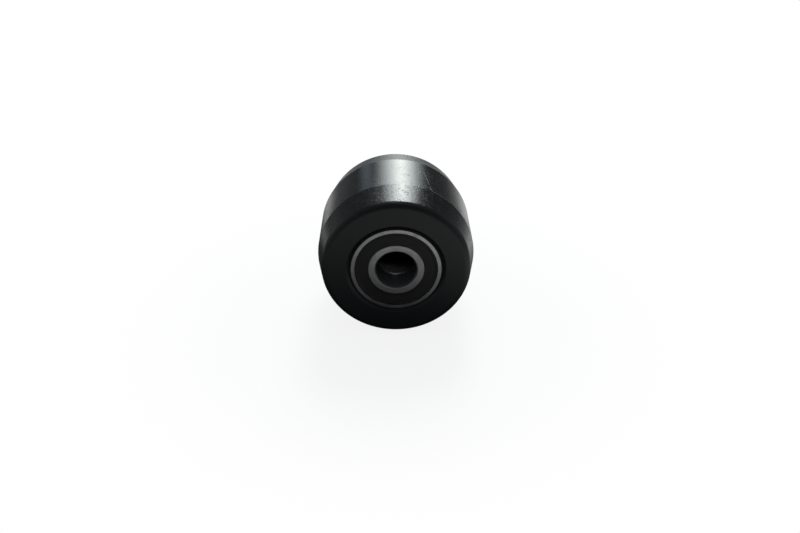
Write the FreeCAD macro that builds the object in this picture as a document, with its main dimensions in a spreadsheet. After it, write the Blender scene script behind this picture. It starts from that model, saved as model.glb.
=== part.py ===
import FreeCAD, Part
import os

import Sketcher
from FreeCAD import Placement, Rotation, Vector

# A load wheel for a stacker's fork: a one-piece moulded wheel that turns on two sealed ball bearings.
# The axle lies along Y through the origin, which is the wheel's centre. Lengths are in millimetres.

FULL_TURN = 360
BALL_COUNT = 8
BALL_STEP = FULL_TURN / BALL_COUNT
BETWEEN_BALLS = BALL_STEP / 2
SIDES = {"front": -1, "rear": 1}
END_FOR_END = Rotation(Vector(1, 0, 0), FULL_TURN / 2)

# Driving sizes
SIZES = {
    # moulded wheel
    "wheel_diameter": "80",
    "wheel_width": "62",
    "tread_width": "30",
    "bevel_drop": "3.1",
    "rim_round": "3.6",
    "bearing_recess": "0.7",
    "seat_chamfer": "1.5",
    "seat_shoulder": "3.5",
    # bearing rings: with the balls and walls below they add up to the usual 20 x 47 x 14 bearing
    "axle_bore": "20",
    "ball_diameter": "7.94",
    "inner_ring_wall": "2.73",
    "outer_ring_wall": "2.73",
    "race_play": "0.05",
    "groove_relief": "0.16",
    "shoulder_height": "1.3",
    "ring_corner": "1",
    "edge_break": "0.25",
    # cage pressed from sheet, in two riveted halves
    "cage_sheet": "0.7",
    "pocket_play": "0.15",
    "cage_side_play": "0.6",
    "rivet_shank": "1",
    "rivet_head": "1.8",
    "rivet_head_height": "0.45",
    # seals that snap into the outer ring and run on the inner ring's shoulder
    "grease_gap": "0.58",
    "seal_thickness": "1.2",
    "seal_inset": "0.4",
    "seal_ledge": "1.43",
    "bead_depth": "0.5",
    "bead_height": "0.6",
    "dish_depth": "0.3",
    "dish_slope": "0.4",
    "seal_rim": "1.1",
    "lip_length": "1.4",
    "lip_taper": "0.5",
    "lip_play": "0.06",
}

# Most of the end face that the rounding of the rim may take
ROUND_SHARE = 0.9

# Sizes that follow from them
FITS = {
    "axle_radius": "Sizes.axle_bore / 2",
    "ball_radius": "Sizes.ball_diameter / 2",
    "groove_radius": "ball_radius + Sizes.groove_relief",
    "inner_groove": "axle_radius + Sizes.inner_ring_wall",
    "pitch_radius": "inner_groove + Sizes.race_play + ball_radius",
    "outer_groove": "pitch_radius + ball_radius + Sizes.race_play",
    "seat_radius": "outer_groove + Sizes.outer_ring_wall",
    "inner_shoulder": "inner_groove + Sizes.shoulder_height",
    "outer_shoulder": "outer_groove - Sizes.shoulder_height",
    "pocket_radius": "ball_radius + Sizes.pocket_play",
    "cup_radius": "pocket_radius + Sizes.cage_sheet",
    "cage_inside": "inner_shoulder + Sizes.cage_side_play",
    "cage_outside": "outer_shoulder - Sizes.cage_side_play",
    "rivet_radius": "Sizes.rivet_shank / 2",
    "rivet_head_radius": "Sizes.rivet_head / 2",
    "rivet_end": "Sizes.cage_sheet + Sizes.rivet_head_height",
    "seal_back": "cup_radius + Sizes.grease_gap",
    "seal_face": "seal_back + Sizes.seal_thickness",
    "seal_mouth": "outer_shoulder + Sizes.seal_ledge",
    "bead_radius": "seal_mouth + Sizes.bead_depth",
    "lip_radius": "inner_shoulder + Sizes.lip_play",
    "ring_half": "seal_face + Sizes.seal_inset",
    "tread_radius": "Sizes.wheel_diameter / 2",
    "wheel_half": "Sizes.wheel_width / 2",
    "tread_half": "Sizes.tread_width / 2",
    "rim_radius": "tread_radius - Sizes.bevel_drop",
    "mouth_radius": "seat_radius + Sizes.seat_chamfer",
    "hub_bore": "seat_radius - Sizes.seat_shoulder",
    "seat_floor": "wheel_half - Sizes.bearing_recess - ring_half * 2",
    "bearing_middle": "wheel_half - Sizes.bearing_recess - ring_half",
    "rim_rounding": f"min(Sizes.rim_round; (rim_radius - mouth_radius) * {ROUND_SHARE})",
}

doc = FreeCAD.newDocument("load_wheel")


def fill_sheet(name, cells, mark):
    sheet = doc.addObject("Spreadsheet::Sheet", name)
    for row, (alias, content) in enumerate(cells.items(), start=1):
        sheet.set(f"A{row}", alias)
        sheet.set(f"B{row}", mark + content)
        sheet.setAlias(f"B{row}", alias)
    doc.recompute()
    return sheet


fill_sheet("Sizes", SIZES, "")
fits = fill_sheet("Fits", FITS, "=")

# Sketch helpers: a section lies on a body's XY plane, with the radius along X and the axle along Y

LINE_START = 1
LINE_END = 2
CIRCLE_CENTRE = 3
ORIGIN_POINT = (-1, 1)
RADIUS_AXIS = -1
ON_MIDDLE = "0"
NEAR = 0.001


def origin_part(body, role):
    return next(part for part in body.Origin.OriginFeatures if part.Role == role)


def new_sketch(body, name, plane):
    sketch = body.newObject("Sketcher::SketchObject", name)
    sketch.AttachmentSupport = [(origin_part(body, plane), "")]
    sketch.MapMode = "FlatFace"
    return sketch


def bind(sketch, kind, places, expression):
    constraint = Sketcher.Constraint(kind, *places, fits.evalExpression(expression))
    number = sketch.addConstraint(constraint)
    sketch.setExpression(f"Constraints[{number}]", expression)


def bind_point(sketch, geometry, corner, radius, height):
    bind(sketch, "DistanceX", (*ORIGIN_POINT, geometry, corner), radius)
    if height == ON_MIDDLE:
        sketch.addConstraint(Sketcher.Constraint("PointOnObject", geometry, corner, RADIUS_AXIS))
    else:
        bind(sketch, "DistanceY", (*ORIGIN_POINT, geometry, corner), height)


def draw_section(body, name, corners, both_sides=False):
    sketch = new_sketch(body, name, "XY_Plane")
    points = [Vector(fits.evalExpression(radius), fits.evalExpression(height), 0) for radius, height in corners]
    if both_sides:
        points += [Vector(point.x, -point.y, 0) for point in reversed(points)]
    count = len(points)
    for line in range(count):
        sketch.addGeometry(Part.LineSegment(points[line], points[(line + 1) % count]))
    for line in range(count):
        following = (line + 1) % count
        sketch.addConstraint(Sketcher.Constraint("Coincident", line, LINE_END, following, LINE_START))
    for line, (radius, height) in enumerate(corners):
        bind_point(sketch, line, LINE_START, radius, height)
        if both_sides:
            twin = count - 1 - line
            sketch.addConstraint(
                Sketcher.Constraint("Symmetric", line, LINE_START, twin, LINE_START, RADIUS_AXIS))
    return sketch


def revolve(body, name, sketch, kind="PartDesign::Revolution", axis="V_Axis"):
    feature = body.newObject(kind, name)
    feature.Profile = sketch
    feature.ReferenceAxis = (sketch, [axis])
    feature.Angle = FULL_TURN
    doc.recompute()
    return feature


def check_cut(feature):
    if feature.Shape.Volume >= feature.BaseFeature.Shape.Volume:
        raise RuntimeError(f"{feature.Label} cuts nothing")


def grind_groove(body, name, centre):
    sketch = new_sketch(body, name + "_section", "XY_Plane")
    middle = Vector(fits.evalExpression(centre), 0, 0)
    circle = sketch.addGeometry(Part.Circle(middle, Vector(0, 0, 1), fits.groove_radius))
    bind_point(sketch, circle, CIRCLE_CENTRE, centre, ON_MIDDLE)
    bind(sketch, "Radius", (circle,), "Fits.groove_radius")
    groove = revolve(body, name, sketch, "PartDesign::Groove")
    check_cut(groove)
    return groove


def round_rims(body, name, base, radius, height, rounding):
    names = []
    for number, edge in enumerate(base.Shape.Edges, start=1):
        is_rim = isinstance(edge.Curve, Part.Circle) and abs(edge.Curve.Radius - radius) < NEAR
        if is_rim and abs(abs(edge.Curve.Center.y) - height) < NEAR:
            names.append(f"Edge{number}")
    fillet = body.newObject("PartDesign::Fillet", name)
    fillet.Base = (base, names)
    fillet.setExpression("Radius", rounding)
    doc.recompute()
    return fillet


def new_body(label):
    body = doc.addObject("PartDesign::Body", label)
    body.Label = label
    return body


def set_along_axle(piece, side, turned=False):
    if turned:
        piece.Placement = Placement(Vector(0, 0, 0), END_FOR_END)
    piece.setExpression("Placement.Base.y", f"{side} * Fits.bearing_middle")


# Moulded wheel: tread band, bevels, rounded rims, and a stepped hub with a bearing seat in each end

def make_wheel():
    body = new_body("wheel_body")
    corners = [
        ("Fits.hub_bore", "Fits.seat_floor"),
        ("Fits.seat_radius", "Fits.seat_floor"),
        ("Fits.seat_radius", "Fits.wheel_half - Sizes.seat_chamfer"),
        ("Fits.mouth_radius", "Fits.wheel_half"),
        ("Fits.rim_radius", "Fits.wheel_half"),
        ("Fits.tread_radius", "Fits.tread_half"),
    ]
    turned = revolve(body, "wheel_turned", draw_section(body, "wheel_section", corners, both_sides=True))
    round_rims(body, "wheel_rims", turned, fits.rim_radius, fits.wheel_half, "Fits.rim_rounding")
    return body


# Bearing rings: each is turned, has its ball groove ground in and its outer corners rounded

def make_inner_race(label, side):
    body = new_body(label)
    corners = [
        ("Fits.axle_radius", "Fits.ring_half"),
        ("Fits.inner_shoulder - Sizes.edge_break", "Fits.ring_half"),
        ("Fits.inner_shoulder", "Fits.ring_half - Sizes.edge_break"),
    ]
    revolve(body, label + "_turned", draw_section(body, label + "_section", corners, both_sides=True))
    groove = grind_groove(body, label + "_groove", "Fits.inner_groove + Fits.groove_radius")
    round_rims(body, label + "_corners", groove, fits.axle_radius, fits.ring_half, "Sizes.ring_corner")
    set_along_axle(body, side)
    return body


def make_outer_race(label, side):
    body = new_body(label)
    corners = [
        ("Fits.outer_shoulder", "Fits.seal_back"),
        ("Fits.bead_radius", "Fits.seal_back"),
        ("Fits.bead_radius", "Fits.seal_back + Sizes.bead_height"),
        ("Fits.seal_mouth", "Fits.seal_face"),
        ("Fits.seal_mouth", "Fits.ring_half"),
        ("Fits.seat_radius", "Fits.ring_half"),
    ]
    revolve(body, label + "_turned", draw_section(body, label + "_section", corners, both_sides=True))
    groove = grind_groove(body, label + "_groove", "Fits.outer_groove - Fits.groove_radius")
    round_rims(body, label + "_corners", groove, fits.seat_radius, fits.ring_half, "Sizes.ring_corner")
    set_along_axle(body, side)
    return body


# Seal: a moulded disc with a bead that fills the outer ring's groove, a dished face and a tapered lip

def make_seal(label, side, turned):
    body = new_body(label)
    dish = "Fits.seal_face - Sizes.dish_depth"
    lip_root = "Fits.lip_radius + Sizes.lip_length"
    corners = [
        ("Fits.lip_radius", "Fits.seal_back + Sizes.lip_taper"),
        (lip_root, "Fits.seal_back"),
        ("Fits.bead_radius", "Fits.seal_back"),
        ("Fits.bead_radius", "Fits.seal_back + Sizes.bead_height"),
        ("Fits.seal_mouth", "Fits.seal_face"),
        ("Fits.seal_mouth - Sizes.seal_rim", "Fits.seal_face"),
        ("Fits.seal_mouth - Sizes.seal_rim - Sizes.dish_slope", dish),
        (lip_root, dish),
        ("Fits.lip_radius", "Fits.seal_face - Sizes.dish_depth / 2"),
    ]
    revolve(body, label + "_moulded", draw_section(body, label + "_section", corners))
    set_along_axle(body, side, turned)
    return body


# Cage half: a flat ribbon with a pressed cup over each ball, trimmed to the ribbon's width and pierced
# for the rivets

def ring_pattern(body, name, originals):
    pattern = body.newObject("PartDesign::PolarPattern", name)
    pattern.Originals = originals
    pattern.Axis = (origin_part(body, "Y_Axis"), [""])
    pattern.Angle = FULL_TURN
    pattern.Occurrences = BALL_COUNT
    body.Tip = pattern
    doc.recompute()
    return pattern


def add_sphere(body, name, kind, radius):
    sphere = body.newObject(kind, name)
    sphere.setExpression("Radius", radius)
    sphere.setExpression("Placement.Base.x", "Fits.pitch_radius")
    doc.recompute()
    return sphere


def pierce_ribbon(body, name):
    sketch = new_sketch(body, name + "_outline", "XZ_Plane")
    across = f"Fits.pitch_radius * cos({BETWEEN_BALLS})"
    upward = f"Fits.pitch_radius * sin({BETWEEN_BALLS})"
    middle = Vector(fits.evalExpression(across), fits.evalExpression(upward), 0)
    circle = sketch.addGeometry(Part.Circle(middle, Vector(0, 0, 1), fits.rivet_radius))
    bind_point(sketch, circle, CIRCLE_CENTRE, across, upward)
    bind(sketch, "Radius", (circle,), "Fits.rivet_radius")
    hole = body.newObject("PartDesign::Pocket", name)
    hole.Profile = sketch
    hole.Midplane = True
    hole.Type = "ThroughAll"
    doc.recompute()
    return hole


def make_cage_half(label, side, turned):
    body = new_body(label)
    ribbon = [
        ("Fits.cage_inside", ON_MIDDLE),
        ("Fits.cage_outside", ON_MIDDLE),
        ("Fits.cage_outside", "Sizes.cage_sheet"),
        ("Fits.cage_inside", "Sizes.cage_sheet"),
    ]
    revolve(body, label + "_ribbon", draw_section(body, label + "_ribbon_section", ribbon))
    cup = add_sphere(body, label + "_cup", "PartDesign::AdditiveSphere", "Fits.cup_radius")
    ring_pattern(body, label + "_cups", [cup])
    pocket = add_sphere(body, label + "_pocket", "PartDesign::SubtractiveSphere", "Fits.pocket_radius")
    check_cut(pocket)
    check_cut(ring_pattern(body, label + "_pockets", [pocket]))
    above = "Fits.seal_back"
    waste = [
        ("Fits.axle_radius", above),
        ("Fits.cage_inside", above),
        ("Fits.cage_inside", ON_MIDDLE),
        ("Fits.cage_outside", ON_MIDDLE),
        ("Fits.cage_outside", above),
        ("Fits.seat_radius", above),
        ("Fits.seat_radius", "-" + above),
        ("Fits.axle_radius", "-" + above),
    ]
    trim_section = draw_section(body, label + "_trim_section", waste)
    check_cut(revolve(body, label + "_trimmed", trim_section, "PartDesign::Groove"))
    hole = pierce_ribbon(body, label + "_hole")
    check_cut(hole)
    check_cut(ring_pattern(body, label + "_holes", [hole]))
    set_along_axle(body, side, turned)
    return body


# Cage rivets: one through each flat between two cups, with a head on either side

def make_rivets(label, side):
    body = new_body(label)
    body.AllowCompound = True
    corners = [
        ("Fits.pitch_radius", "Fits.rivet_end"),
        ("Fits.pitch_radius + Fits.rivet_radius", "Fits.rivet_end"),
        ("Fits.pitch_radius + Fits.rivet_head_radius", "Sizes.cage_sheet"),
        ("Fits.pitch_radius + Fits.rivet_radius", "Sizes.cage_sheet"),
    ]
    section = draw_section(body, label + "_section", corners, both_sides=True)
    middle_line = f"Edge{2 * len(corners)}"
    rivet = revolve(body, label + "_first", section, axis=middle_line)
    ring_pattern(body, label + "_round", [rivet])
    body.Placement = Placement(Vector(0, 0, 0), Rotation(Vector(0, 1, 0), BETWEEN_BALLS))
    set_along_axle(body, side)
    return body


# Balls: spaced evenly on the pitch circle between the two grooves

def make_ball(label, side, number):
    ball = doc.addObject("Part::Sphere", label)
    ball.Label = label
    angle = BALL_STEP * number
    ball.setExpression("Radius", "Fits.ball_radius")
    ball.setExpression("Placement.Base.x", f"Fits.pitch_radius * cos({angle})")
    ball.setExpression("Placement.Base.z", f"Fits.pitch_radius * sin({angle})")
    set_along_axle(ball, side)
    return ball


pieces = [make_wheel()]
for end, side in SIDES.items():
    pieces.append(make_outer_race(f"{end}_outer_race", side))
    pieces.append(make_inner_race(f"{end}_inner_race", side))
    pieces.append(make_seal(f"{end}_outboard_seal", side, turned=side < 0))
    pieces.append(make_seal(f"{end}_inboard_seal", side, turned=side > 0))
    pieces.append(make_cage_half(f"{end}_outboard_cage_half", side, turned=side < 0))
    pieces.append(make_cage_half(f"{end}_inboard_cage_half", side, turned=side > 0))
    pieces.append(make_rivets(f"{end}_cage_rivets", side))
    for number in range(BALL_COUNT):
        pieces.append(make_ball(f"{end}_ball_{number + 1}", side, number))
doc.recompute()

for item in doc.Objects:
    if "Invalid" in item.State or "Error" in item.State:
        raise RuntimeError(f"{item.Label} failed to build")
for piece in pieces:
    if piece.Shape.isNull() or not piece.Shape.isValid():
        raise RuntimeError(f"{piece.Label} has no valid shape")

os.makedirs("parts", exist_ok=True)
for piece in pieces:
    piece.Shape.exportStep(f"parts/{piece.Label}.step")
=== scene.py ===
import math

import bpy
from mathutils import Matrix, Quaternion, Vector


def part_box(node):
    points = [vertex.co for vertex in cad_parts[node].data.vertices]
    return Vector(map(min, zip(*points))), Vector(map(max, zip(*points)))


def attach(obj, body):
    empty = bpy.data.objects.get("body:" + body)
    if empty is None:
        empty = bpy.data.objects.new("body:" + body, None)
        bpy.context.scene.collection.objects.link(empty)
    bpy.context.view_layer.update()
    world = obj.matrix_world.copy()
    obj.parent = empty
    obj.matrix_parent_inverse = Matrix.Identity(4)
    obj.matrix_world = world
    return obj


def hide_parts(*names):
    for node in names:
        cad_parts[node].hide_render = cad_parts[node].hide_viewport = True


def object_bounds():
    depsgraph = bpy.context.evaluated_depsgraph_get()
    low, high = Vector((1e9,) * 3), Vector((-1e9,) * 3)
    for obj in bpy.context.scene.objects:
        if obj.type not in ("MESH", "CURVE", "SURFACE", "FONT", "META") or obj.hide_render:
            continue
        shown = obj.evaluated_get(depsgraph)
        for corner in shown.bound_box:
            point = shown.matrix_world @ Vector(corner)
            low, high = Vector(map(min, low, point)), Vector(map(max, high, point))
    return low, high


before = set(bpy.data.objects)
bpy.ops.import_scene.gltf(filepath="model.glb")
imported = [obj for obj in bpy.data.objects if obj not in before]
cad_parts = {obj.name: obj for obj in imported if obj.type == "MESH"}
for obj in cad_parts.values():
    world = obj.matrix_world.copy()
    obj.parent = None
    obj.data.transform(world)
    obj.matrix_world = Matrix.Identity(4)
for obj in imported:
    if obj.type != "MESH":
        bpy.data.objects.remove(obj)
cad_low, cad_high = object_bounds()

# Moulded wheel
# One black polymer moulding: a flat tread, a long shallow bevel to each end, rounded rims, flat end faces
# and a bearing seat in each end. Rolling has polished the tread and bevels, and pitted, scuffed and
# scratched them.

scene = bpy.context.scene
MM = 0.001
MICRON = 0.001 * MM
wheel_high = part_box("wheel_body")[1]
race_low, race_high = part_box("rear_outer_race")
WHEEL_RADIUS = wheel_high.z
WHEEL_HALF = wheel_high.y
SEAT_RADIUS = race_high.z
SEAT_FLOOR = race_low.y
TREAD_HALF = 15 * MM
BEVEL_DROP = 3.1 * MM
BEVEL_END = WHEEL_RADIUS - BEVEL_DROP
RIM_ROUND = 3.6 * MM
SEAT_CHAMFER = 1.5 * MM
SEAT_SHOULDER = 3.5 * MM
TREAD_EDGE_ROUND = 2 * MM
EDGE_BREAK = 0.25 * MM
STEPS_ROUND_WHEEL = 288
STEPS_IN_ROUNDING = 10
SEAM_GAP = 1e-7
ROUNDING_GUARD = 0.5


def feed(tree, source, socket):
    # Links another socket to this one, or sets it to a value.
    if isinstance(source, bpy.types.NodeSocket):
        tree.links.new(source, socket)
    else:
        socket.default_value = source


def add_node(tree, kind, sockets=None, **settings):
    node = tree.nodes.new(kind)
    for name, value in settings.items():
        setattr(node, name, value)
    for name, source in (sockets or {}).items():
        feed(tree, source, node.inputs[name])
    return node


def work_out(tree, operation, *terms):
    node = add_node(tree, "ShaderNodeMath", operation=operation)
    for socket, term in zip(node.inputs, terms):
        feed(tree, term, socket)
    return node.outputs["Value"]


def on_vectors(tree, operation, first, second):
    return add_node(tree, "ShaderNodeVectorMath", {0: first, 1: second}, operation=operation).outputs


def stretch(tree, vector, share):
    longer = add_node(tree, "ShaderNodeVectorMath", {0: vector, "Scale": share}, operation="SCALE")
    return longer.outputs["Vector"]


def new_group(name, kind, inputs, outputs):
    tree = bpy.data.node_groups.new(name, kind)
    for socket_name, socket_kind in inputs.items():
        tree.interface.new_socket(name=socket_name, in_out="INPUT", socket_type=socket_kind)
    for socket_name, socket_kind in outputs.items():
        tree.interface.new_socket(name=socket_name, in_out="OUTPUT", socket_type=socket_kind)
    given = tree.nodes.new("NodeGroupInput")
    result = tree.nodes.new("NodeGroupOutput")
    return tree, given.outputs, result.inputs


def place_group(tree, group, sockets):
    kind = "GeometryNodeGroup" if group.type == "GEOMETRY" else "ShaderNodeGroup"
    return add_node(tree, kind, sockets, node_tree=group).outputs


def build_turning_tree():
    # Turns a section, drawn with the radius along X and the axle along Y, right round the axle.
    tree, given, result = new_group(
        "turn_section", "GeometryNodeTree",
        {"Section": "NodeSocketGeometry", "Closed": "NodeSocketInt", "Steps": "NodeSocketInt"},
        {"Mesh": "NodeSocketGeometry"})
    size = add_node(
        tree, "GeometryNodeAttributeDomainSize", {"Geometry": given["Section"]}, component="CURVE")
    count = size.outputs["Point Count"]
    rows = work_out(tree, "ADD", count, given["Closed"])
    columns = work_out(tree, "ADD", given["Steps"], 1)
    grid = add_node(tree, "GeometryNodeMeshGrid", {"Vertices X": rows, "Vertices Y": columns})
    index = add_node(tree, "GeometryNodeInputIndex").outputs["Index"]
    guarded = work_out(tree, "ADD", index, ROUNDING_GUARD)
    row = work_out(tree, "FLOOR", work_out(tree, "DIVIDE", guarded, columns))
    column = work_out(tree, "SUBTRACT", index, work_out(tree, "MULTIPLY", row, columns))
    place = add_node(tree, "GeometryNodeInputPosition").outputs["Position"]
    wrapped = work_out(tree, "FLOORED_MODULO", row, count)
    corner = add_node(
        tree, "GeometryNodeSampleIndex",
        {"Geometry": given["Section"], "Value": place, "Index": wrapped},
        data_type="FLOAT_VECTOR", domain="POINT")
    flat = add_node(tree, "ShaderNodeSeparateXYZ", {"Vector": corner.outputs["Value"]}).outputs
    turn = work_out(tree, "MULTIPLY", work_out(tree, "DIVIDE", column, given["Steps"]), math.tau)
    across = work_out(tree, "MULTIPLY", flat["X"], work_out(tree, "SINE", turn))
    upward = work_out(tree, "MULTIPLY", flat["X"], work_out(tree, "COSINE", turn))
    turned = add_node(tree, "ShaderNodeCombineXYZ", {"X": across, "Y": flat["Y"], "Z": upward})
    moved = add_node(
        tree, "GeometryNodeSetPosition",
        {"Geometry": grid.outputs["Mesh"], "Position": turned.outputs["Vector"]})
    sealed = add_node(
        tree, "GeometryNodeMergeByDistance", {"Geometry": moved.outputs["Geometry"], "Distance": SEAM_GAP})
    smooth = add_node(tree, "GeometryNodeSetShadeSmooth", {"Geometry": sealed.outputs["Geometry"]})
    feed(tree, smooth.outputs["Geometry"], result["Mesh"])
    return tree


turning_tree = build_turning_tree()


def pick_by_number(tree, number, choices):
    switch = add_node(tree, "GeometryNodeIndexSwitch", data_type="FLOAT")
    while len(switch.index_switch_items) < len(choices):
        switch.index_switch_items.new()
    feed(tree, number, switch.inputs["Index"])
    for position, choice in enumerate(choices):
        feed(tree, choice, switch.inputs[str(position)])
    return switch.outputs["Output"]


def draw_two_sided_section(tree, radii, heights, roundings, steps, closed):
    # One side's corners run from the axle outwards, and the other side mirrors them in the middle plane.
    count = 2 * len(radii)
    line = add_node(tree, "GeometryNodeCurvePrimitiveLine")
    points = add_node(
        tree, "GeometryNodeResampleCurve", {"Curve": line.outputs["Curve"], "Count": count}, mode="COUNT")
    index = add_node(tree, "GeometryNodeInputIndex").outputs["Index"]
    from_end = work_out(tree, "SUBTRACT", count - 1, index)
    corner = work_out(tree, "MINIMUM", index, from_end)
    side = work_out(tree, "SIGN", work_out(tree, "SUBTRACT", from_end, index))
    height = work_out(tree, "MULTIPLY", pick_by_number(tree, corner, heights), side)
    place = add_node(
        tree, "ShaderNodeCombineXYZ", {"X": pick_by_number(tree, corner, radii), "Y": height})
    drawn = add_node(
        tree, "GeometryNodeSetPosition",
        {"Geometry": points.outputs["Curve"], "Position": place.outputs["Vector"]})
    looped = add_node(
        tree, "GeometryNodeSetSplineCyclic", {"Geometry": drawn.outputs["Geometry"], "Cyclic": closed})
    rounding = pick_by_number(tree, corner, roundings)
    rounded = add_node(
        tree, "GeometryNodeFilletCurve",
        {"Curve": looped.outputs["Geometry"], "Count": steps, "Radius": rounding}, mode="POLY")
    return rounded.outputs["Curve"]


def finish_tree(tree, mesh, material, result):
    real = add_node(tree, "GeometryNodeRealizeInstances", {"Geometry": mesh})
    painted = add_node(
        tree, "GeometryNodeSetMaterial", {"Geometry": real.outputs["Geometry"], "Material": material})
    feed(tree, painted.outputs["Geometry"], result)


def build_wheel_tree():
    lengths = [
        "Tread Radius", "Tread Half", "Wheel Half", "Bevel Drop", "Rim Round", "Seat Radius", "Seat Floor",
        "Seat Chamfer", "Seat Shoulder", "Tread Edge Round", "Edge Break"]
    inputs = {name: "NodeSocketFloat" for name in lengths}
    inputs |= {
        "Steps Round": "NodeSocketInt", "Steps In Rounding": "NodeSocketInt", "Finish": "NodeSocketMaterial"}
    tree, given, result = new_group(
        "moulded_wheel", "GeometryNodeTree", inputs, {"Mesh": "NodeSocketGeometry"})
    rim = work_out(tree, "SUBTRACT", given["Tread Radius"], given["Bevel Drop"])
    hub = work_out(tree, "SUBTRACT", given["Seat Radius"], given["Seat Shoulder"])
    mouth = work_out(tree, "ADD", given["Seat Radius"], given["Seat Chamfer"])
    chamfer_floor = work_out(tree, "SUBTRACT", given["Wheel Half"], given["Seat Chamfer"])
    edge = given["Edge Break"]
    section = draw_two_sided_section(
        tree,
        radii=[hub, given["Seat Radius"], given["Seat Radius"], mouth, rim, given["Tread Radius"]],
        heights=[
            given["Seat Floor"], given["Seat Floor"], chamfer_floor, given["Wheel Half"], given["Wheel Half"],
            given["Tread Half"]],
        roundings=[edge, edge, edge, edge, given["Rim Round"], given["Tread Edge Round"]],
        steps=given["Steps In Rounding"],
        closed=True)
    turned = place_group(
        tree, turning_tree, {"Section": section, "Closed": 1, "Steps": given["Steps Round"]})
    finish_tree(tree, turned["Mesh"], given["Finish"], result["Mesh"])
    return tree


def make_piece(name, tree, values):
    # Runs a tree once and keeps its result as a plain mesh, with normals that leave the flats flat.
    mould = bpy.data.objects.new(name + "_mould", bpy.data.meshes.new(name + "_mould"))
    scene.collection.objects.link(mould)
    maker = mould.modifiers.new("maker", "NODES")
    maker.node_group = tree
    for item in tree.interface.items_tree:
        if item.name in values:
            maker[item.identifier] = values[item.name]
    evener = mould.modifiers.new("even_normals", "WEIGHTED_NORMAL")
    evener.keep_sharp = True
    graph = bpy.context.evaluated_depsgraph_get()
    mesh = bpy.data.meshes.new_from_object(mould.evaluated_get(graph), depsgraph=graph)
    mesh.name = name
    bpy.data.objects.remove(mould)
    piece = bpy.data.objects.new(name, mesh)
    scene.collection.objects.link(piece)
    return piece


def new_material(name):
    material = bpy.data.materials.new(name)
    material.use_nodes = True
    return material, material.node_tree, material.node_tree.nodes["Principled BSDF"]


def object_place(tree):
    return add_node(tree, "ShaderNodeTexCoord").outputs["Object"]


def spread(tree, value, low, high, to_low=0.0, to_high=1.0, kind="SMOOTHSTEP"):
    # Carries a value from one span to another, held at both ends.
    node = add_node(
        tree, "ShaderNodeMapRange",
        {"Value": value, "From Min": low, "From Max": high, "To Min": to_low, "To Max": to_high},
        interpolation_type=kind)
    return node.outputs["Result"]


def close_to(tree, value, size, reach):
    # A mask: 1 where the value is the size, fading to 0 at the reach on both sides.
    apart = work_out(tree, "ABSOLUTE", work_out(tree, "SUBTRACT", value, size))
    return spread(tree, apart, reach, 0.0)


def add_up(tree, *shares):
    # Adds up pairs of a mask and its weight.
    total = 0.0
    for mask, weight in shares:
        total = work_out(tree, "MULTIPLY_ADD", mask, weight, total)
    return total


def blend_colours(tree, share, first, second):
    node = add_node(tree, "ShaderNodeMix", data_type="RGBA")
    sockets = {socket.identifier: socket for socket in node.inputs}
    feed(tree, share, sockets["Factor_Float"])
    feed(tree, first, sockets["A_Color"])
    feed(tree, second, sockets["B_Color"])
    return next(socket for socket in node.outputs if socket.identifier == "Result_Color")


def raise_bump(tree, height, shader):
    bump = add_node(tree, "ShaderNodeBump", {"Height": height, "Strength": 1.0, "Distance": 1.0})
    feed(tree, bump.outputs["Normal"], shader.inputs["Normal"])


def build_axle_group():
    # Gives a point's distance from the axle and its place along it.
    tree, given, result = new_group(
        "round_the_axle", "ShaderNodeTree", {"Vector": "NodeSocketVector"},
        {"Radius": "NodeSocketFloat", "Along": "NodeSocketFloat"})
    parts = add_node(tree, "ShaderNodeSeparateXYZ", {"Vector": given["Vector"]}).outputs
    across = work_out(tree, "MULTIPLY", parts["X"], parts["X"])
    upward = work_out(tree, "MULTIPLY", parts["Z"], parts["Z"])
    feed(tree, work_out(tree, "SQRT", work_out(tree, "ADD", across, upward)), result["Radius"])
    feed(tree, parts["Y"], result["Along"])
    return tree


axle_group = build_axle_group()


def add_noise(tree, vector, size, detail):
    return add_node(
        tree, "ShaderNodeTexNoise",
        {"Vector": vector, "Scale": work_out(tree, "DIVIDE", 1.0, size), "Detail": detail}).outputs


# The layers of finer noise in each kind of mark, the span of noise in which it fades in, and noise's middle.
SCUFF_LAYERS = 4
SCUFF_SPAN = (0.42, 0.62)
SPECK_LAYERS = 1
SPECK_SPAN = (0.56, 0.70)
LINE_LAYERS = 2
LINE_SPAN = (0.40, 0.65)
PATCH_LAYERS = 2
PATCH_SPAN = (0.35, 0.65)
SKIP_LAYERS = 2
SKIP_SPAN = (0.30, 0.50)
NOISE_MIDDLE = (0.5, 0.5, 0.5)


def build_marks_group():
    # Blotchy scuffs and fine specks, each of its own size.
    tree, given, result = new_group(
        "surface_marks", "ShaderNodeTree",
        {"Vector": "NodeSocketVector", "Scuff Size": "NodeSocketFloat", "Speck Size": "NodeSocketFloat"},
        {"Scuffs": "NodeSocketFloat", "Specks": "NodeSocketFloat"})
    scuffs = add_noise(tree, given["Vector"], given["Scuff Size"], SCUFF_LAYERS)["Fac"]
    specks = add_noise(tree, given["Vector"], given["Speck Size"], SPECK_LAYERS)["Fac"]
    feed(tree, spread(tree, scuffs, *SCUFF_SPAN), result["Scuffs"])
    feed(tree, spread(tree, specks, *SPECK_SPAN), result["Specks"])
    return tree


marks_group = build_marks_group()


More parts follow.
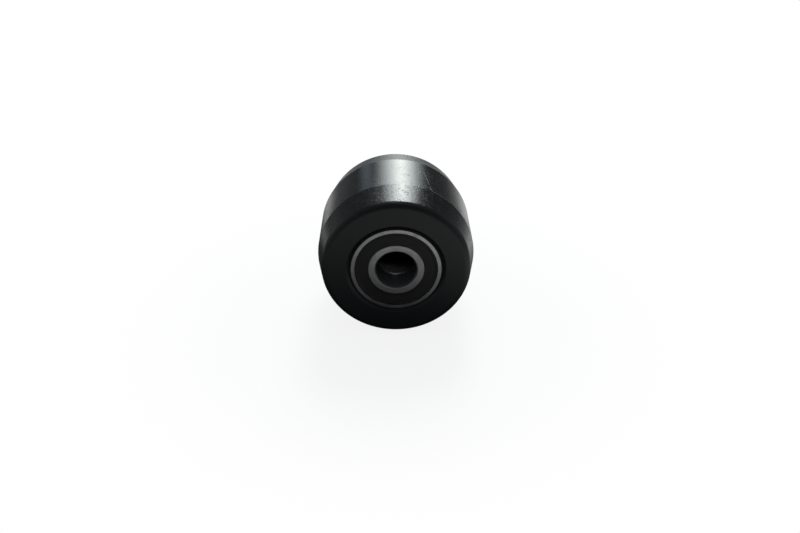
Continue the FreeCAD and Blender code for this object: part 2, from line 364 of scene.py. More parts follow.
def build_lines_group():
    # Fine lines that run round the axle, each for about the length of its run.
    tree, given, result = new_group(
        "turning_lines", "ShaderNodeTree",
        {"Vector": "NodeSocketVector", "Spacing": "NodeSocketFloat", "Run": "NodeSocketFloat"},
        {"Lines": "NodeSocketFloat"})
    axle = place_group(tree, axle_group, {"Vector": given["Vector"]})
    parts = add_node(tree, "ShaderNodeSeparateXYZ", {"Vector": given["Vector"]}).outputs
    row = work_out(tree, "DIVIDE", work_out(tree, "ADD", axle["Radius"], axle["Along"]), given["Spacing"])
    stretched = add_node(
        tree, "ShaderNodeCombineXYZ",
        {"X": work_out(tree, "DIVIDE", parts["X"], given["Run"]), "Y": row,
         "Z": work_out(tree, "DIVIDE", parts["Z"], given["Run"])})
    lines = add_noise(tree, stretched.outputs["Vector"], 1.0, LINE_LAYERS)["Fac"]
    feed(tree, spread(tree, lines, *LINE_SPAN), result["Lines"])
    return tree


lines_group = build_lines_group()


def build_scratch_group():
    # A scratch between two points, which wavers and skips a little: 1 on its line, fading to 0 at its width.
    tree, given, result = new_group(
        "scratch_line", "ShaderNodeTree",
        {"Vector": "NodeSocketVector", "Start": "NodeSocketVector", "End": "NodeSocketVector",
         "Width": "NodeSocketFloat", "Waver": "NodeSocketFloat", "Waver Size": "NodeSocketFloat"},
        {"Mask": "NodeSocketFloat"})
    noise = add_noise(tree, given["Vector"], given["Waver Size"], SKIP_LAYERS)
    drift = on_vectors(tree, "SUBTRACT", noise["Color"], NOISE_MIDDLE)["Vector"]
    place = on_vectors(tree, "ADD", given["Vector"], stretch(tree, drift, given["Waver"]))["Vector"]
    whole = on_vectors(tree, "SUBTRACT", given["End"], given["Start"])["Vector"]
    reached = on_vectors(tree, "SUBTRACT", place, given["Start"])["Vector"]
    along = on_vectors(tree, "DOT_PRODUCT", reached, whole)["Value"]
    length_squared = on_vectors(tree, "DOT_PRODUCT", whole, whole)["Value"]
    share = spread(tree, work_out(tree, "DIVIDE", along, length_squared), 0.0, 1.0, kind="LINEAR")
    away = on_vectors(tree, "DISTANCE", reached, stretch(tree, whole, share))["Value"]
    line = spread(tree, away, given["Width"], 0.0)
    skips = spread(tree, noise["Fac"], *SKIP_SPAN)
    feed(tree, work_out(tree, "MULTIPLY", line, skips), result["Mask"])
    return tree


scratch_group = build_scratch_group()

POLYMER_BLACK = (0.0088, 0.0100, 0.0110, 1)
WORN_GREY = (0.10, 0.105, 0.105, 1)
POLISH_FADE = 0.4 * MM
POLYMER_SCUFF = 2.6 * MM
POLYMER_SPECK = 1.5 * MM
POLYMER_DENT = 1.6 * MM
DENT_LAYERS = 2
SCUFFED_PATCH = 14 * MM
ROLLING_MARK_SPACING = 0.9 * MM
ROLLING_MARK_RUN = 5 * MM
FACE_ROUGHNESS = 0.46
HUB_ROUGHNESS = 0.95
POLISHED_ROUGHNESS = 0.20
SCUFF_ROUGHENS = 0.06
PIT_ROUGHENS = 0.12
MARK_ROUGHENS = 0.02
BEVEL_ROUGHENS = 0.10
WEAR_ROUGHENS = 0.30
EDGE_WEAR_REACH = 0.5 * MM
EDGE_WEAR_SHARE = 0.20
PITTED_BEGINS = -5 * MM
PITTED_FULL = -13 * MM
PIT_DEPTH = 21 * MICRON
DENT_HEIGHT = 25 * MICRON
MARK_HEIGHT = 1 * MICRON
FACE_BUMP_SHARE = 0.15
SCRATCH_DEPTH = 8 * MICRON
SCRATCH_WIDTH = 0.30 * MM
SCRATCH_WAVER = 0.5 * MM
SCRATCH_WAVER_SIZE = 2.5 * MM
# Each scratch runs between two points, given as degrees round from the top and millimetres along the axle.
SCRATCHES = [
    ((21.2, 5.0), (26.3, -14.5)),
    ((26.3, -14.7), (34.0, -15.0)),
    ((34.0, -15.0), (42.0, -15.0)),
    ((-8.6, -7.2), (-2.8, -7.4)),
    ((-6.6, -5.2), (-3.0, -5.3)),
]


def on_tread(degrees, along):
    turn = math.radians(degrees)
    return (WHEEL_RADIUS * math.sin(turn), along * MM, WHEEL_RADIUS * math.cos(turn))


def paint_polymer():
    material, tree, shader = new_material("moulded_polymer")
    place = object_place(tree)
    axle = place_group(tree, axle_group, {"Vector": place})
    rolled = spread(tree, axle["Radius"], BEVEL_END - POLISH_FADE, BEVEL_END + POLISH_FADE)
    marks = place_group(
        tree, marks_group, {"Vector": place, "Scuff Size": POLYMER_SCUFF, "Speck Size": POLYMER_SPECK})
    dents = add_noise(tree, place, POLYMER_DENT, DENT_LAYERS)["Fac"]
    patches = spread(tree, add_noise(tree, place, SCUFFED_PATCH, PATCH_LAYERS)["Fac"], *PATCH_SPAN)
    scuffed_bevel = spread(tree, axle["Along"], TREAD_HALF - POLISH_FADE, TREAD_HALF + POLISH_FADE)
    scuffed_front = spread(tree, axle["Along"], PITTED_BEGINS, PITTED_FULL)
    scuffed = work_out(tree, "MAXIMUM", work_out(tree, "MAXIMUM", scuffed_front, scuffed_bevel), patches)
    pits = work_out(tree, "MULTIPLY", marks["Specks"], scuffed)
    rolling = place_group(
        tree, lines_group,
        {"Vector": place, "Spacing": ROLLING_MARK_SPACING, "Run": ROLLING_MARK_RUN})["Lines"]
    scratched = 0.0
    for start, end in SCRATCHES:
        one = place_group(
            tree, scratch_group,
            {"Vector": place, "Start": on_tread(*start), "End": on_tread(*end), "Width": SCRATCH_WIDTH,
             "Waver": SCRATCH_WAVER, "Waver Size": SCRATCH_WAVER_SIZE})
        scratched = work_out(tree, "MAXIMUM", one["Mask"], scratched)
    side = work_out(tree, "ABSOLUTE", axle["Along"])
    edge = work_out(tree, "MULTIPLY", close_to(tree, side, TREAD_HALF, EDGE_WEAR_REACH), marks["Scuffs"])
    worn = work_out(tree, "MAXIMUM", scratched, work_out(tree, "MULTIPLY", edge, EDGE_WEAR_SHARE))
    feed(tree, blend_colours(tree, worn, POLYMER_BLACK, WORN_GREY), shader.inputs["Base Color"])
    scuffs = work_out(tree, "MULTIPLY", marks["Scuffs"], scuffed)
    roughened = add_up(
        tree, (scuffs, SCUFF_ROUGHENS), (pits, PIT_ROUGHENS), (rolling, MARK_ROUGHENS),
        (scuffed_bevel, BEVEL_ROUGHENS), (scratched, WEAR_ROUGHENS))
    tread_roughness = work_out(tree, "ADD", roughened, POLISHED_ROUGHNESS)
    inner_roughness = spread(
        tree, axle["Radius"], SEAT_RADIUS, SEAT_RADIUS + POLISH_FADE, HUB_ROUGHNESS, FACE_ROUGHNESS)
    roughness = spread(tree, rolled, 0.0, 1.0, inner_roughness, tread_roughness, "LINEAR")
    feed(tree, roughness, shader.inputs["Roughness"])
    dented = work_out(tree, "MULTIPLY", dents, scuffed)
    height = add_up(tree, (dented, DENT_HEIGHT), (pits, -PIT_DEPTH), (rolling, MARK_HEIGHT))
    shown = spread(tree, rolled, 0.0, 1.0, FACE_BUMP_SHARE, 1.0, "LINEAR")
    raised = work_out(tree, "MULTIPLY", height, shown)
    raise_bump(tree, work_out(tree, "MULTIPLY_ADD", scratched, -SCRATCH_DEPTH, raised), shader)
    return material


wheel_moulding = make_piece("wheel_moulding", build_wheel_tree(), {
    "Tread Radius": WHEEL_RADIUS,
    "Tread Half": TREAD_HALF,
    "Wheel Half": WHEEL_HALF,
    "Bevel Drop": BEVEL_DROP,
    "Rim Round": RIM_ROUND,
    "Seat Radius": SEAT_RADIUS,
    "Seat Floor": SEAT_FLOOR,
    "Seat Chamfer": SEAT_CHAMFER,
    "Seat Shoulder": SEAT_SHOULDER,
    "Tread Edge Round": TREAD_EDGE_ROUND,
    "Edge Break": EDGE_BREAK,
    "Steps Round": STEPS_ROUND_WHEEL,
    "Steps In Rounding": STEPS_IN_ROUNDING,
    "Finish": paint_polymer(),
})
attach(wheel_moulding, "wheel")
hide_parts("wheel_body")

# Bearing rings
# Each bearing's inner and outer ring: hardened chrome steel, turned, and ground on the faces and bore.
# Grinding leaves fine lines round the axle. The bore is a darker grey and less metallic than the faces.
# Painted shade darkens the outer ring's outer corner and the inboard ends, and they are rougher and less
# metallic there.

ENDS = ["front", "rear"]
RING_STEEL = (0.43, 0.43, 0.435, 1)
GRINDING_SHADE = (0.33, 0.33, 0.335, 1)
# Painted shade: the dark grey painted into the outer ring's outer corner and on the inboard ends.
PAINTED_SHADE_GREY = (0.012, 0.012, 0.012, 1)
GRINDING_SPACING = 0.16 * MM
GRINDING_RUN = 25 * MM
RING_SMUDGE = 4 * MM
RING_SPECK = 0.5 * MM
AXLE_BORE_RADIUS = 10 * MM
# The bore is a darker grey and less metallic than the ring's faces.
DARKER_BORE_GREY = (0.050, 0.050, 0.053, 1)
BORE_METAL = 0.10
BORE_ROUGHNESS = 0.12
RING_ROUGHNESS = 0.30
GRINDING_ROUGHENS = 0.10
SMUDGE_ROUGHENS = 0.08
SHADED_ROUGHENS = 0.5
SHADED_METAL = 0.1
INBOARD_ROUGHENS = 0.30
GRINDING_SHADES = 0.5
SMUDGE_SHADES = 0.3
GRINDING_DEPTH = 0.4 * MICRON
RING_SPECK_HEIGHT = 0.2 * MICRON
CORNER_SHADE_BEGINS = SEAT_RADIUS - 1.05 * MM
CORNER_SHADE_FULL = SEAT_RADIUS - 0.75 * MM
INBOARD_SHADE_FULL = SEAT_FLOOR + 1.2 * MM
INBOARD_SHADE_ENDS = SEAT_FLOOR + 2.5 * MM
BORE_EDGE_FULL = AXLE_BORE_RADIUS + 0.5 * MM
BORE_EDGE_ENDS = AXLE_BORE_RADIUS + 1.1 * MM


def paint_ring_steel():
    material, tree, shader = new_material("bearing_steel")
    place = object_place(tree)
    axle = place_group(tree, axle_group, {"Vector": place})
    grinding = place_group(
        tree, lines_group, {"Vector": place, "Spacing": GRINDING_SPACING, "Run": GRINDING_RUN})["Lines"]
    marks = place_group(
        tree, marks_group, {"Vector": place, "Scuff Size": RING_SMUDGE, "Speck Size": RING_SPECK})
    side = work_out(tree, "ABSOLUTE", axle["Along"])
    # Painted shade on the inboard ends and in the outer ring's outer corner, which are also rougher and less
    # metallic.
    inboard_shade = spread(tree, side, INBOARD_SHADE_ENDS, INBOARD_SHADE_FULL)
    painted_shade = work_out(tree, "MAXIMUM", spread(tree, axle["Radius"], CORNER_SHADE_BEGINS, CORNER_SHADE_FULL), inboard_shade)
    shaded = add_up(tree, (grinding, GRINDING_SHADES), (marks["Scuffs"], SMUDGE_SHADES))
    faces = spread(tree, axle["Radius"], BORE_EDGE_FULL, BORE_EDGE_ENDS)
    ground = blend_colours(tree, shaded, RING_STEEL, GRINDING_SHADE)
    # The bore takes the darker grey, and the faces keep the ground steel.
    bore_darkened = blend_colours(tree, faces, DARKER_BORE_GREY, ground)
    feed(tree, blend_colours(tree, painted_shade, bore_darkened, PAINTED_SHADE_GREY), shader.inputs["Base Color"])
    bare_metal = spread(tree, faces, 0.0, 1.0, BORE_METAL, 1.0, "LINEAR")
    feed(tree, spread(tree, painted_shade, 0.0, 1.0, bare_metal, SHADED_METAL), shader.inputs["Metallic"])
    roughened = add_up(
        tree, (grinding, GRINDING_ROUGHENS), (marks["Scuffs"], SMUDGE_ROUGHENS), (painted_shade, SHADED_ROUGHENS))
    face_roughness = work_out(tree, "ADD", roughened, RING_ROUGHNESS)
    bore_roughness = work_out(tree, "MULTIPLY_ADD", inboard_shade, INBOARD_ROUGHENS, BORE_ROUGHNESS)
    roughness = spread(tree, faces, 0.0, 1.0, bore_roughness, face_roughness, "LINEAR")
    feed(tree, roughness, shader.inputs["Roughness"])
    lined = add_up(tree, (grinding, GRINDING_DEPTH), (marks["Specks"], RING_SPECK_HEIGHT))
    raise_bump(tree, work_out(tree, "MULTIPLY", lined, faces), shader)
    return material


ring_steel = paint_ring_steel()
for end in ENDS:
    for ring in ["outer_race", "inner_race"]:
        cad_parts[f"{end}_{ring}"].material_slots[0].material = ring_steel

# Balls
# Eight chrome steel balls run in each bearing's grooves. They are ground and lapped to a mirror finish,
# with a film of grease that dulls them in patches.

BALLS_IN_BEARING = 8
BALL_STEEL = (0.58, 0.58, 0.585, 1)
GREASE_FILM = (0.42, 0.40, 0.35, 1)
BALL_FILM_PATCH = 2 * MM
BALL_SPECK = 0.3 * MM
BALL_ROUGHNESS = 0.07
GREASE_ROUGHENS = 0.14
BALL_SPECK_ROUGHENS = 0.05


def paint_ball_steel():
    material, tree, shader = new_material("polished_steel")
    shader.inputs["Metallic"].default_value = 1.0
    place = object_place(tree)
    marks = place_group(
        tree, marks_group, {"Vector": place, "Scuff Size": BALL_FILM_PATCH, "Speck Size": BALL_SPECK})
    feed(tree, blend_colours(tree, marks["Scuffs"], BALL_STEEL, GREASE_FILM), shader.inputs["Base Color"])
    dulled = add_up(tree, (marks["Scuffs"], GREASE_ROUGHENS), (marks["Specks"], BALL_SPECK_ROUGHENS))
    feed(tree, work_out(tree, "ADD", dulled, BALL_ROUGHNESS), shader.inputs["Roughness"])
    return material


ball_steel = paint_ball_steel()
for end in ENDS:
    for number in range(1, BALLS_IN_BEARING + 1):
        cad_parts[f"{end}_ball_{number}"].material_slots[0].material = ball_steel

# Ball cages
# Two halves of thin steel strip, pressed into pockets and laid face to face, keep each bearing's balls
# apart. The strip keeps its rolling lines, and the bearing's grease tints it.

CAGE_STEEL = (0.42, 0.42, 0.415, 1)
GREASED_STEEL = (0.26, 0.235, 0.18, 1)
STRIP_LINE_SPACING = 0.3 * MM
STRIP_LINE_RUN = 8 * MM
CAGE_SMUDGE = 2.5 * MM
CAGE_SPECK = 0.4 * MM
CAGE_ROUGHNESS = 0.26
STRIP_LINES_ROUGHEN = 0.12
CAGE_SPECKS_ROUGHEN = 0.10
STRIP_LINE_DEPTH = 2 * MICRON
CAGE_SPECK_HEIGHT = 1.5 * MICRON


def paint_strip_steel(name, bare, greased):
    material, tree, shader = new_material(name)
    shader.inputs["Metallic"].default_value = 1.0
    place = object_place(tree)
    strip = place_group(
        tree, lines_group,
        {"Vector": place, "Spacing": STRIP_LINE_SPACING, "Run": STRIP_LINE_RUN})["Lines"]
    marks = place_group(
        tree, marks_group, {"Vector": place, "Scuff Size": CAGE_SMUDGE, "Speck Size": CAGE_SPECK})
    feed(tree, blend_colours(tree, marks["Scuffs"], bare, greased), shader.inputs["Base Color"])
    roughened = add_up(tree, (strip, STRIP_LINES_ROUGHEN), (marks["Specks"], CAGE_SPECKS_ROUGHEN))
    feed(tree, work_out(tree, "ADD", roughened, CAGE_ROUGHNESS), shader.inputs["Roughness"])
    height = add_up(tree, (strip, STRIP_LINE_DEPTH), (marks["Specks"], CAGE_SPECK_HEIGHT))
    raise_bump(tree, height, shader)
    return material


cage_steel = paint_strip_steel("cage_steel", CAGE_STEEL, GREASED_STEEL)
for end in ENDS:
    for half in ["outboard_cage_half", "inboard_cage_half"]:
        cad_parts[f"{end}_{half}"].material_slots[0].material = cage_steel

# Cage rivets
# Eight soft steel rivets join each cage's halves, one between every two balls. Each has a domed head on
# both sides of the strip, closed by pressing.

RIVET_STEEL = (0.50, 0.50, 0.49, 1)
GREASED_RIVET = (0.30, 0.275, 0.22, 1)
RIVET_SHANK_RADIUS = 0.5 * MM
RIVET_HEAD_RADIUS = 0.9 * MM
RIVET_HEAD_HEIGHT = 0.45 * MM
RIVET_DOME_ROUND = 0.42 * MM
STEPS_ROUND_RIVET = 24
STEPS_IN_DOME = 6


def build_rivet_tree():
    measures = [
        "Pitch Radius", "Middle", "First Turn", "Shank Radius", "Head Radius", "Head Height", "Dome Round",
        "Rivet Half"]
    inputs = {name: "NodeSocketFloat" for name in measures}
    inputs |= {
        "Rivets": "NodeSocketInt", "Steps Round": "NodeSocketInt", "Steps In Dome": "NodeSocketInt",
        "Finish": "NodeSocketMaterial"}
    tree, given, result = new_group(
        "cage_rivets", "GeometryNodeTree", inputs, {"Mesh": "NodeSocketGeometry"})
    under_head = work_out(tree, "SUBTRACT", given["Rivet Half"], given["Head Height"])
    section = draw_two_sided_section(
        tree,
        radii=[0.0, given["Head Radius"], given["Head Radius"], given["Shank Radius"]],
        heights=[given["Rivet Half"], given["Rivet Half"], under_head, under_head],
        roundings=[0.0, given["Dome Round"], 0.0, 0.0],
        steps=given["Steps In Dome"],
        closed=False)
    rivet = place_group(
        tree, turning_tree, {"Section": section, "Closed": 0, "Steps": given["Steps Round"]})
    index = add_node(tree, "GeometryNodeInputIndex").outputs["Index"]
    step = work_out(tree, "DIVIDE", math.tau, given["Rivets"])
    turn = work_out(tree, "MULTIPLY_ADD", index, step, given["First Turn"])
    across = work_out(tree, "MULTIPLY", given["Pitch Radius"], work_out(tree, "SINE", turn))
    upward = work_out(tree, "MULTIPLY", given["Pitch Radius"], work_out(tree, "COSINE", turn))
    seat = add_node(tree, "ShaderNodeCombineXYZ", {"X": across, "Y": given["Middle"], "Z": upward})
    seats = add_node(
        tree, "GeometryNodePoints", {"Count": given["Rivets"], "Position": seat.outputs["Vector"]})
    row = add_node(
        tree, "GeometryNodeInstanceOnPoints",
        {"Points": seats.outputs["Points"], "Instance": rivet["Mesh"]})
    finish_tree(tree, row.outputs["Instances"], given["Finish"], result["Mesh"])
    return tree


rivet_tree = build_rivet_tree()
rivet_steel = paint_strip_steel("rivet_steel", RIVET_STEEL, GREASED_RIVET)
for end in ENDS:
    ball_low, ball_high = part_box(f"{end}_ball_1")
    ball_middle = (ball_low + ball_high) / 2
    rivet_low, rivet_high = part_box(f"{end}_cage_rivets")
    domed_rivets = make_piece(f"{end}_domed_rivets", rivet_tree, {
        "Pitch Radius": math.hypot(ball_middle.x, ball_middle.z),
        "Middle": ball_middle.y,
        "First Turn": math.atan2(ball_middle.x, ball_middle.z) + math.pi / BALLS_IN_BEARING,
        "Shank Radius": RIVET_SHANK_RADIUS,
        "Head Radius": RIVET_HEAD_RADIUS,
        "Head Height": RIVET_HEAD_HEIGHT,
        "Dome Round": RIVET_DOME_ROUND,
        "Rivet Half": (rivet_high.y - rivet_low.y) / 2,
        "Rivets": BALLS_IN_BEARING,
        "Steps Round": STEPS_ROUND_RIVET,
        "Steps In Dome": STEPS_IN_DOME,
        "Finish": rivet_steel,
    })
    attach(domed_rivets, f"{end}_cage")
    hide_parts(f"{end}_cage_rivets")

# Seals
# Black rubber washers moulded on steel, two in each bearing, snapped into the outer ring's grooves. They
# are satin black, with faint moulding lines round the axle and a little dust.

SEAL_BLACK = (0.008, 0.008, 0.0082, 1)
SEAL_DUST = (0.030, 0.029, 0.027, 1)
SEAL_LINE_SPACING = 0.7 * MM
SEAL_LINE_RUN = 40 * MM
SEAL_SMUDGE = 5 * MM
SEAL_DUST_SPECK = 0.45 * MM
SEAL_ROUGHNESS = 0.50
SEAL_LINES_ROUGHEN = 0.08
DUST_SPECKS = 0.25
DUST_SMUDGES = 0.10
DUST_ROUGHENS = 0.3
SEAL_LINE_HEIGHT = 3 * MICRON
SEAL_SPECK_HEIGHT = 2 * MICRON


def paint_seal_rubber():
    material, tree, shader = new_material("seal_rubber")
    place = object_place(tree)
    moulding = place_group(
        tree, lines_group, {"Vector": place, "Spacing": SEAL_LINE_SPACING, "Run": SEAL_LINE_RUN})["Lines"]
    marks = place_group(
        tree, marks_group, {"Vector": place, "Scuff Size": SEAL_SMUDGE, "Speck Size": SEAL_DUST_SPECK})
    dusty = add_up(tree, (marks["Specks"], DUST_SPECKS), (marks["Scuffs"], DUST_SMUDGES))
    feed(tree, blend_colours(tree, dusty, SEAL_BLACK, SEAL_DUST), shader.inputs["Base Color"])
    roughened = add_up(tree, (moulding, SEAL_LINES_ROUGHEN), (dusty, DUST_ROUGHENS))
    feed(tree, work_out(tree, "ADD", roughened, SEAL_ROUGHNESS), shader.inputs["Roughness"])
    height = add_up(tree, (moulding, SEAL_LINE_HEIGHT), (marks["Specks"], SEAL_SPECK_HEIGHT))
    raise_bump(tree, height, shader)
    return material


seal_rubber = paint_seal_rubber()
for end in ENDS:
    for seal in ["outboard_seal", "inboard_seal"]:
        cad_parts[f"{end}_{seal}"].material_slots[0].material = seal_rubber

# White table
# A plain white top that the wheel stands on. The camera sees it white, with the wheel's own soft shadow.
# To every ray but the camera's it is painted nearly black, as painted shade. In the wheel's gloss it shows a
# painted reflection: a painted shadow close by and a little to the left, brightest a hand's width out, and
# dimmer far off, in front and to the left.

scene.view_settings.view_transform = "Standard"
WHITE = (1, 1, 1, 1)
TABLE_PAINT = (0.9, 0.9, 0.9, 1)
# Painted shade: the table's colour for every ray but the camera's, so the wheel's gloss and bounce see it
# nearly black.
TABLE_PAINTED_SHADE = (0.04, 0.04, 0.04, 1)
TABLE_HALF = 1.2
FLATTEN = (1, 1, 0)
WHEEL_FOOT = (0, 0, 0)
SHADOW_BEGINS = 0.06
SHADOW_ENDS = 0.17
WHITE_IN_SHADOW = 0.86
# The middle of the painted shadow that the wheel's gloss sees on the table.
PAINTED_SHADOW_MIDDLE = (-0.040, 0, 0)
GLOSS_BEGINS = 0.090
GLOSS_FULL = 0.182
GLOSS_FADED = 0.38
TABLE_GLOSS_SHARE = 0.85
FAR_GLOSS_SHARE = 0.20
GLOSS_STRETCH = (1.4, 0.5, 0)
FRONT_BEGINS = -0.17
FRONT_ENDS = -0.28
FRONT_GLOSS_SHARE = 0.10
LEFT_ENDS = -0.22
LEFT_BEGINS = 0.0
LEFT_GLOSS_SHARE = 0.40


def add_stage(name, low_x, low_y, high_x, high_y, height, material):
    # A flat rectangle that isn't part of the wheel.
    mesh = bpy.data.meshes.new(name)
    corners = [(low_x, low_y), (high_x, low_y), (high_x, high_y), (low_x, high_y)]
    mesh.from_pydata([(x, y, height) for x, y in corners], [], [range(len(corners))])
    mesh.materials.append(material)
    rectangle = bpy.data.objects.new(name, mesh)
    scene.collection.objects.link(rectangle)
    return rectangle


def seen_white(tree, path, direct_share, gloss_share):
    # How far a ray sees plain white: straight from the camera or through glass, or in gloss.
    straight = work_out(tree, "MAXIMUM", path["Is Camera Ray"], path["Is Transmission Ray"])
    direct = work_out(tree, "MULTIPLY", straight, direct_share)
    gloss = work_out(tree, "MULTIPLY", path["Is Glossy Ray"], gloss_share)
    return work_out(tree, "MAXIMUM", direct, gloss)


def paint_table():
    material = bpy.data.materials.new("white_table")
    material.use_nodes = True
    material.cycles.emission_sampling = "NONE"
    tree = material.node_tree
    tree.nodes.clear()
    flat = on_vectors(tree, "MULTIPLY", object_place(tree), FLATTEN)["Vector"]
    away = on_vectors(tree, "DISTANCE", flat, WHEEL_FOOT)["Value"]
    # Painted reflection: gloss sees the table glow dark close to the wheel and to its left, as painted
    # shadow, brightest a hand's width out.
    apart = on_vectors(tree, "DISTANCE", flat, PAINTED_SHADOW_MIDDLE)["Value"]
    drawn_in = on_vectors(tree, "MULTIPLY", flat, GLOSS_STRETCH)["Vector"]
    oval = on_vectors(tree, "DISTANCE", drawn_in, PAINTED_SHADOW_MIDDLE)["Value"]
    far_share = spread(
        tree, oval, GLOSS_FULL, GLOSS_FADED, TABLE_GLOSS_SHARE, FAR_GLOSS_SHARE, "LINEAR")
    parts = add_node(tree, "ShaderNodeSeparateXYZ", {"Vector": flat}).outputs
    back_share = spread(tree, parts["Y"], FRONT_ENDS, FRONT_BEGINS, FRONT_GLOSS_SHARE, far_share)
    side_share = spread(tree, parts["X"], LEFT_ENDS, LEFT_BEGINS, LEFT_GLOSS_SHARE, 1.0)
    open_share = work_out(tree, "MULTIPLY", back_share, side_share)
    path = add_node(tree, "ShaderNodeLightPath").outputs
    direct_share = spread(tree, away, SHADOW_BEGINS, SHADOW_ENDS, WHITE_IN_SHADOW, 1.0)
    gloss_share = spread(tree, apart, GLOSS_BEGINS, GLOSS_FULL, 0.0, open_share)
    share = seen_white(tree, path, direct_share, gloss_share)
    # Painted shade: only the camera sees the table's white paint, and other rays see it nearly black.
    colour = blend_colours(tree, path["Is Camera Ray"], TABLE_PAINTED_SHADE, TABLE_PAINT)
    paint = add_node(tree, "ShaderNodeBsdfDiffuse", {"Color": colour})
    glow = add_node(tree, "ShaderNodeEmission", {"Color": WHITE, "Strength": 1.0})
    mixed = add_node(
        tree, "ShaderNodeMixShader", {"Fac": share, 1: paint.outputs["BSDF"], 2: glow.outputs["Emission"]})
    add_node(tree, "ShaderNodeOutputMaterial", {"Surface": mixed.outputs["Shader"]})
    return material


add_stage("table_top", -TABLE_HALF, -TABLE_HALF, TABLE_HALF, TABLE_HALF, cad_low.z, paint_table())

# Room and windows
# A dim room, paler along the table's edge, overhead and at both sides, and dimmer in front and to the
# right. Soft light comes from behind, through one tall leaning window that is brightest in its middle and
# towards its top, and a narrow dim one further left.

ROOM_TINT = (0.88, 0.96, 1.0, 1)
ROOM_GLOSS_SHARE = 0.02
FILL_LEVEL = 0.4
ROOM_LEVEL = 0.06
HORIZON_LEVEL = 0.14
HORIZON_REACH = 0.14
ROOM_TURN_SPAN = 0.4
FRONT_ROOM_SHARE = 0.4
RIGHT_ROOM_SHARE = 0.4
CEILING_ELEVATION = 65.0
CEILING_BEGINS = 0.80
CEILING_LEVEL = 0.38
SIDE_WALLS_BEGIN = 0.60
SIDE_WALLS_FULL = 0.90
SIDE_WALL_LEVEL = 0.2
WINDOW_TINT = (0.96, 1.0, 0.957, 1)
WINDOW_SIDE_TINT = (0.88, 0.97, 1.0, 1)
WINDOW_AZIMUTH = 7.5
WINDOW_ELEVATION = 41.0
WINDOW_LEAN = 9.0
WINDOW_DISTANCE = 1.0
WINDOW_LEFT = 0.38
WINDOW_RIGHT = 0.325
WINDOW_FOCUS = 1.5
WINDOW_BOTTOM = -0.75
WINDOW_BRIGHTEST = 0.38
WINDOW_TOP = 0.40
WINDOW_LEVEL = 18.4
SILL_SHARE = 0.14
CARD_AXIS = (0, 0, 1)
SIDE_TINT = (0.70, 0.87, 1.0)
SIDE_AZIMUTH = -14.5
SIDE_ELEVATION = 24.0
SIDE_DISTANCE = 1.2
SIDE_WIDTH = 0.28
SIDE_HEIGHT = 0.60
SIDE_LEVEL = 0.55


def point_at(azimuth, elevation):
    # The way from the wheel to a place behind it, turned to the right and raised from the table.
    turn = math.radians(azimuth)
    rise = math.radians(elevation)
    return Vector((math.sin(turn) * math.cos(rise), math.cos(turn) * math.cos(rise), math.sin(rise)))


def paint_room():
    world = bpy.data.worlds.new("dim_room")
    world.use_nodes = True
    world.cycles.sampling_method = "NONE"
    tree = world.node_tree
    tree.nodes.clear()
    way = add_node(tree, "ShaderNodeTexCoord").outputs["Generated"]
    parts = add_node(tree, "ShaderNodeSeparateXYZ", {"Vector": way}).outputs
    walls = spread(tree, parts["Z"], 0.0, HORIZON_REACH, HORIZON_LEVEL, ROOM_LEVEL)
    behind = spread(tree, parts["Y"], -ROOM_TURN_SPAN, ROOM_TURN_SPAN, FRONT_ROOM_SHARE, 1.0)
    rightward = spread(tree, parts["X"], 0.0, ROOM_TURN_SPAN, 1.0, RIGHT_ROOM_SHARE)
    overhead = on_vectors(tree, "DOT_PRODUCT", way, point_at(0, CEILING_ELEVATION))["Value"]
    ceiling = spread(tree, overhead, CEILING_BEGINS, 1.0, 0.0, CEILING_LEVEL)
    sideways = work_out(tree, "ABSOLUTE", parts["X"])
    side_walls = spread(tree, sideways, SIDE_WALLS_BEGIN, SIDE_WALLS_FULL, 0.0, SIDE_WALL_LEVEL)
    lit = work_out(tree, "ADD", ceiling, side_walls)
    reflected = work_out(tree, "MULTIPLY_ADD", walls, work_out(tree, "MULTIPLY", behind, rightward), lit)
    path = add_node(tree, "ShaderNodeLightPath").outputs
    level = spread(tree, path["Is Diffuse Ray"], 0.0, 1.0, reflected, FILL_LEVEL, "LINEAR")
    room = add_node(tree, "ShaderNodeBackground", {"Color": ROOM_TINT, "Strength": level})
    white = add_node(tree, "ShaderNodeBackground", {"Color": WHITE, "Strength": 1.0})
    share = seen_white(tree, path, 1.0, ROOM_GLOSS_SHARE)
    mixed = add_node(
        tree, "ShaderNodeMixShader",
        {"Fac": share, 1: room.outputs["Background"], 2: white.outputs["Background"]})
    add_node(tree, "ShaderNodeOutputWorld", {"Surface": mixed.outputs["Shader"]})
    return world


scene.world = paint_room()


def paint_window():
    # The card's X runs to the left and its Y up, from the point that faces the wheel.
    material = bpy.data.materials.new("window_light")
    material.use_nodes = True
    tree = material.node_tree
    tree.nodes.clear()
    on_card = add_node(tree, "ShaderNodeSeparateXYZ", {"Vector": object_place(tree)}).outputs
    leftward = spread(tree, on_card["X"], WINDOW_LEFT, 0.0, kind="LINEAR")
    rightward = spread(tree, on_card["X"], -WINDOW_RIGHT, 0.0, kind="LINEAR")
    across = work_out(tree, "POWER", work_out(tree, "MINIMUM", leftward, rightward), WINDOW_FOCUS)
    sill_level = SILL_SHARE * WINDOW_LEVEL
    upward = spread(tree, on_card["Y"], WINDOW_BOTTOM, WINDOW_BRIGHTEST, sill_level, WINDOW_LEVEL)
    tint = blend_colours(tree, across, WINDOW_SIDE_TINT, WINDOW_TINT)
    level = work_out(tree, "MULTIPLY", across, upward)
    glow = add_node(tree, "ShaderNodeEmission", {"Color": tint, "Strength": level})
    add_node(tree, "ShaderNodeOutputMaterial", {"Surface": glow.outputs["Emission"]})
    return material


def hang_in_room(thing, way, distance, lean):
    # Turns a window to face the wheel, leaning to the right, and hides it from the camera.
    facing = way.to_track_quat("Z", "Y") @ Quaternion(CARD_AXIS, math.radians(lean))
    thing.location = way * distance
    thing.rotation_euler = facing.to_euler()
    thing.visible_camera = False


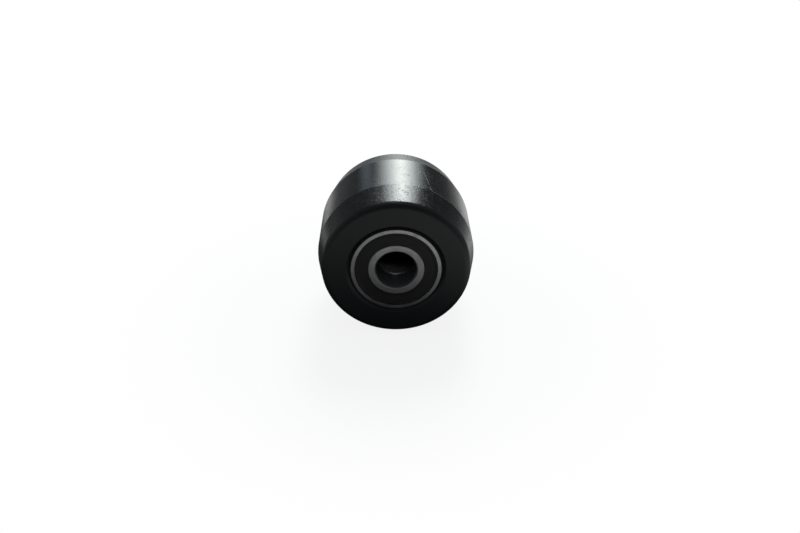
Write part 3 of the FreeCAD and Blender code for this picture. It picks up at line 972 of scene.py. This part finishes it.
tall_window = add_stage(
    "tall_window", -WINDOW_RIGHT, WINDOW_BOTTOM, WINDOW_LEFT, WINDOW_TOP, 0.0, paint_window())
hang_in_room(tall_window, point_at(WINDOW_AZIMUTH, WINDOW_ELEVATION), WINDOW_DISTANCE, WINDOW_LEAN)
side_light = bpy.data.lights.new("side_window", "AREA")
side_light.shape = "RECTANGLE"
side_light.size = SIDE_WIDTH
side_light.size_y = SIDE_HEIGHT
side_light.energy = SIDE_LEVEL * math.pi * SIDE_WIDTH * SIDE_HEIGHT
side_light.color = SIDE_TINT
side_window = bpy.data.objects.new("side_window", side_light)
scene.collection.objects.link(side_window)
hang_in_room(side_window, point_at(SIDE_AZIMUTH, SIDE_ELEVATION), SIDE_DISTANCE, 0.0)

# Camera
# It looks down on the front end from a little to the left, as the photo does. The face's centre falls on
# the pixel given here, in a picture of 800 by 533 pixels.

VIEW_HEIGHT = 31.45
VIEW_TURN = 0.57
VIEW_DISTANCE = 0.3828
PICTURE_WIDTH = 800
PICTURE_HEIGHT = 533
FACE_PIXEL_X = 396.2
FACE_PIXEL_Y = 270.9
FOCAL_PIXELS = 769.3
NEAREST_SEEN = 0.01
camera_data = bpy.data.cameras.new("photo_camera")
camera_data.lens = FOCAL_PIXELS / PICTURE_WIDTH * camera_data.sensor_width
camera_data.shift_x = (PICTURE_WIDTH / 2 - FACE_PIXEL_X) / PICTURE_WIDTH
camera_data.shift_y = (FACE_PIXEL_Y - PICTURE_HEIGHT / 2) / PICTURE_WIDTH
camera_data.clip_start = NEAREST_SEEN
camera = bpy.data.objects.new("photo_camera", camera_data)
scene.collection.objects.link(camera)
view_rise = math.radians(VIEW_HEIGHT)
view_turn = math.radians(VIEW_TURN)
towards_camera = Vector((
    -math.sin(view_turn) * math.cos(view_rise),
    -math.cos(view_turn) * math.cos(view_rise),
    math.sin(view_rise)))
camera.location = Vector((0, -WHEEL_HALF, 0)) + towards_camera * VIEW_DISTANCE
camera.rotation_euler = towards_camera.to_track_quat("Z", "Y").to_euler()
scene.camera = camera
